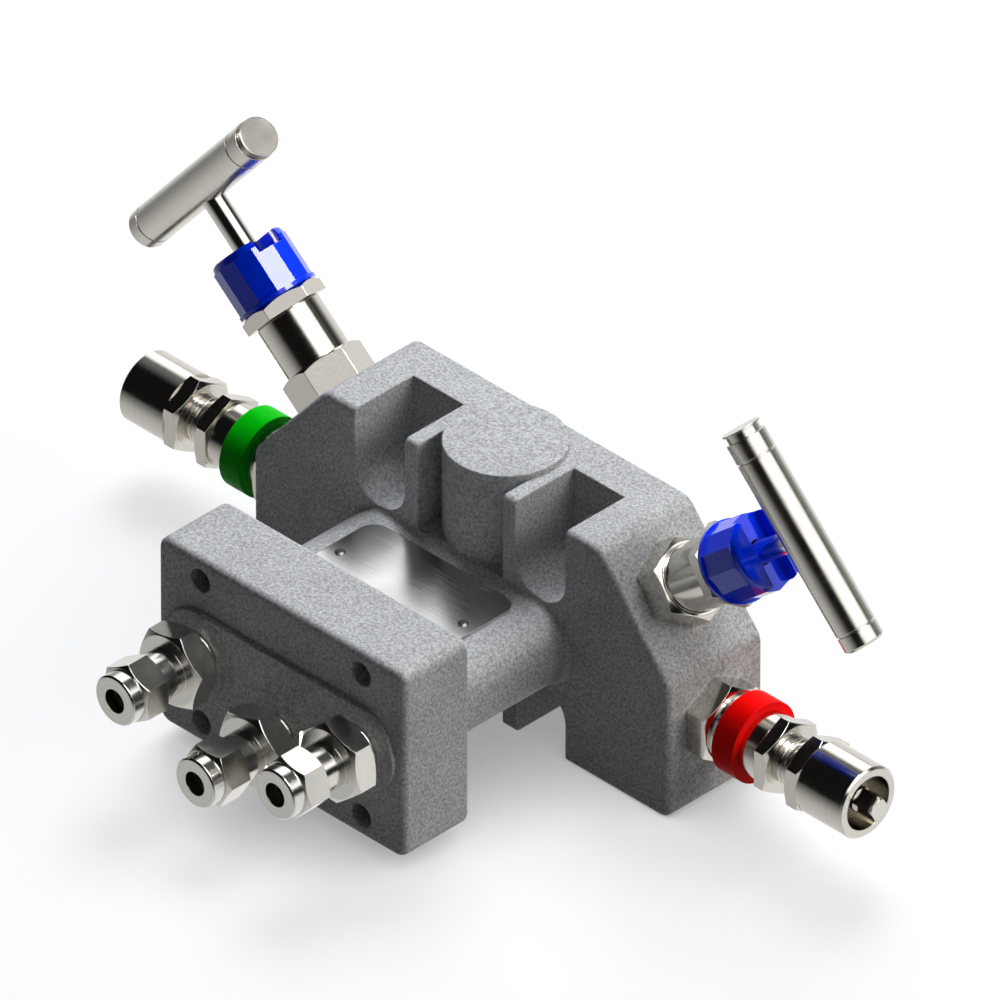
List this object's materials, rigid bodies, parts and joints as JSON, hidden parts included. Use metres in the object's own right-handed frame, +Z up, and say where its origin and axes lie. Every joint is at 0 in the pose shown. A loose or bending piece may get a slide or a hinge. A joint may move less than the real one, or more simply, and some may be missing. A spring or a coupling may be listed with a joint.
{
  "type": "instrument valve manifold",
  "caption": "Instrument valve manifold: cast block and process flange on a neck, with needle valves, bar handles, key-operated spindles and compression tube connectors.",
  "frame": {"origin": "centre of the bolt pattern in the instrument face", "axes": "+Y out of the instrument face towards the instrument, +X towards the vent valve, +Z up"},
  "size_m": [0.2508, 0.1199, 0.1187],
  "materials": {
    "casting": "fine blasted casting skin, in stainless steel",
    "plate": "polished thin sheet",
    "steel": "turned and milled stainless steel",
    "stem": "ground stainless rod",
    "handle": "brushed stainless bar",
    "fitting": "bright machined stainless steel",
    "cap": "glossy moulded plastic",
    "green_band": "satin moulded ring",
    "red_band": "satin moulded ring",
    "packing": "moulded seal material"
  },
  "bodies": {
    "root": {"manifold_casting": "casting", "nameplate": "plate", "nameplate_pins": "steel", "instrument_seals": "packing", "front_ferrules": "fitting", "back_ferrules": "fitting", "connector_body_left": "fitting", "tube_nut_left": "fitting", "connector_body_vent": "fitting", "tube_nut_vent": "fitting", "connector_body_right": "fitting", "tube_nut_right": "fitting", "isolate_left_bonnet": "steel", "isolate_left_packing": "packing", "isolate_left_gland_ring": "steel", "isolate_left_packing_adjuster": "steel", "isolate_left_lock_nut": "steel", "isolate_left_dust_cap": "cap", "isolate_right_bonnet": "steel", "isolate_right_packing": "packing", "isolate_right_gland_ring": "steel", "isolate_right_packing_adjuster": "steel", "isolate_right_lock_nut": "steel", "isolate_right_dust_cap": "cap", "equalise_bonnet": "steel", "equalise_packing": "packing", "equalise_gland_ring": "steel", "equalise_packing_adjuster": "steel", "equalise_lock_nut": "steel", "equalise_colour_band": "green_band", "equalise_shroud": "steel", "vent_bonnet": "steel", "vent_packing": "packing", "vent_gland_ring": "steel", "vent_packing_adjuster": "steel", "vent_lock_nut": "steel", "vent_colour_band": "red_band", "vent_shroud": "steel"},
    "isolate_left_needle_body": {"isolate_left_needle": "stem"},
    "isolate_left_stem_body": {"isolate_left_stem": "stem", "isolate_left_handle": "handle", "isolate_left_handle_screw": "steel"},
    "isolate_right_needle_body": {"isolate_right_needle": "stem"},
    "isolate_right_stem_body": {"isolate_right_stem": "stem", "isolate_right_handle": "handle", "isolate_right_handle_screw": "steel"},
    "equalise_needle_body": {"equalise_needle": "stem"},
    "equalise_stem_body": {"equalise_spindle": "stem"},
    "vent_needle_body": {"vent_needle": "stem"},
    "vent_stem_body": {"vent_spindle": "stem"}
  },
  "joints": [
    {"name": "isolate_left_rise", "type": "slide", "parent": "root", "child": "isolate_left_needle_body", "axis": [-0.766, 0, 0.6428], "range_m": [-0.005, 0.001]},
    {"name": "isolate_left_turn", "type": "hinge", "parent": "isolate_left_needle_body", "child": "isolate_left_stem_body", "pos_m": [-0.027, -0.0155, -0.0015], "axis": [-0.766, 0, 0.6428], "range_deg": [-1800, 360]},
    {"name": "isolate_right_rise", "type": "slide", "parent": "root", "child": "isolate_right_needle_body", "axis": [0.766, 0, 0.6428], "range_m": [-0.001, 0.005]},
    {"name": "isolate_right_turn", "type": "hinge", "parent": "isolate_right_needle_body", "child": "isolate_right_stem_body", "pos_m": [0.027, -0.0155, -0.0015], "axis": [0.766, 0, 0.6428], "range_deg": [-360, 1800]},
    {"name": "equalise_rise", "type": "slide", "parent": "root", "child": "equalise_needle_body", "axis": [-1, 0, 0], "range_m": [-0.0015, 0.0025]},
    {"name": "equalise_turn", "type": "hinge", "parent": "equalise_needle_body", "child": "equalise_stem_body", "pos_m": [-0.07, -0.0155, -0.0075], "axis": [-1, 0, 0], "range_deg": [-540, 900]},
    {"name": "vent_rise", "type": "slide", "parent": "root", "child": "vent_needle_body", "axis": [1, 0, 0], "range_m": [-0.0015, 0.0025]},
    {"name": "vent_turn", "type": "hinge", "parent": "vent_needle_body", "child": "vent_stem_body", "pos_m": [0.07, -0.0155, -0.0075], "axis": [1, 0, 0], "range_deg": [-540, 900]}
  ],
  "couplings": [
    {"joint": "isolate_left_turn", "follows": "isolate_left_rise", "rad_per_m": 6283.2},
    {"joint": "isolate_right_turn", "follows": "isolate_right_rise", "rad_per_m": 6283.2},
    {"joint": "equalise_turn", "follows": "equalise_rise", "rad_per_m": 6283.2},
    {"joint": "vent_turn", "follows": "vent_rise", "rad_per_m": 6283.2}
  ]
}
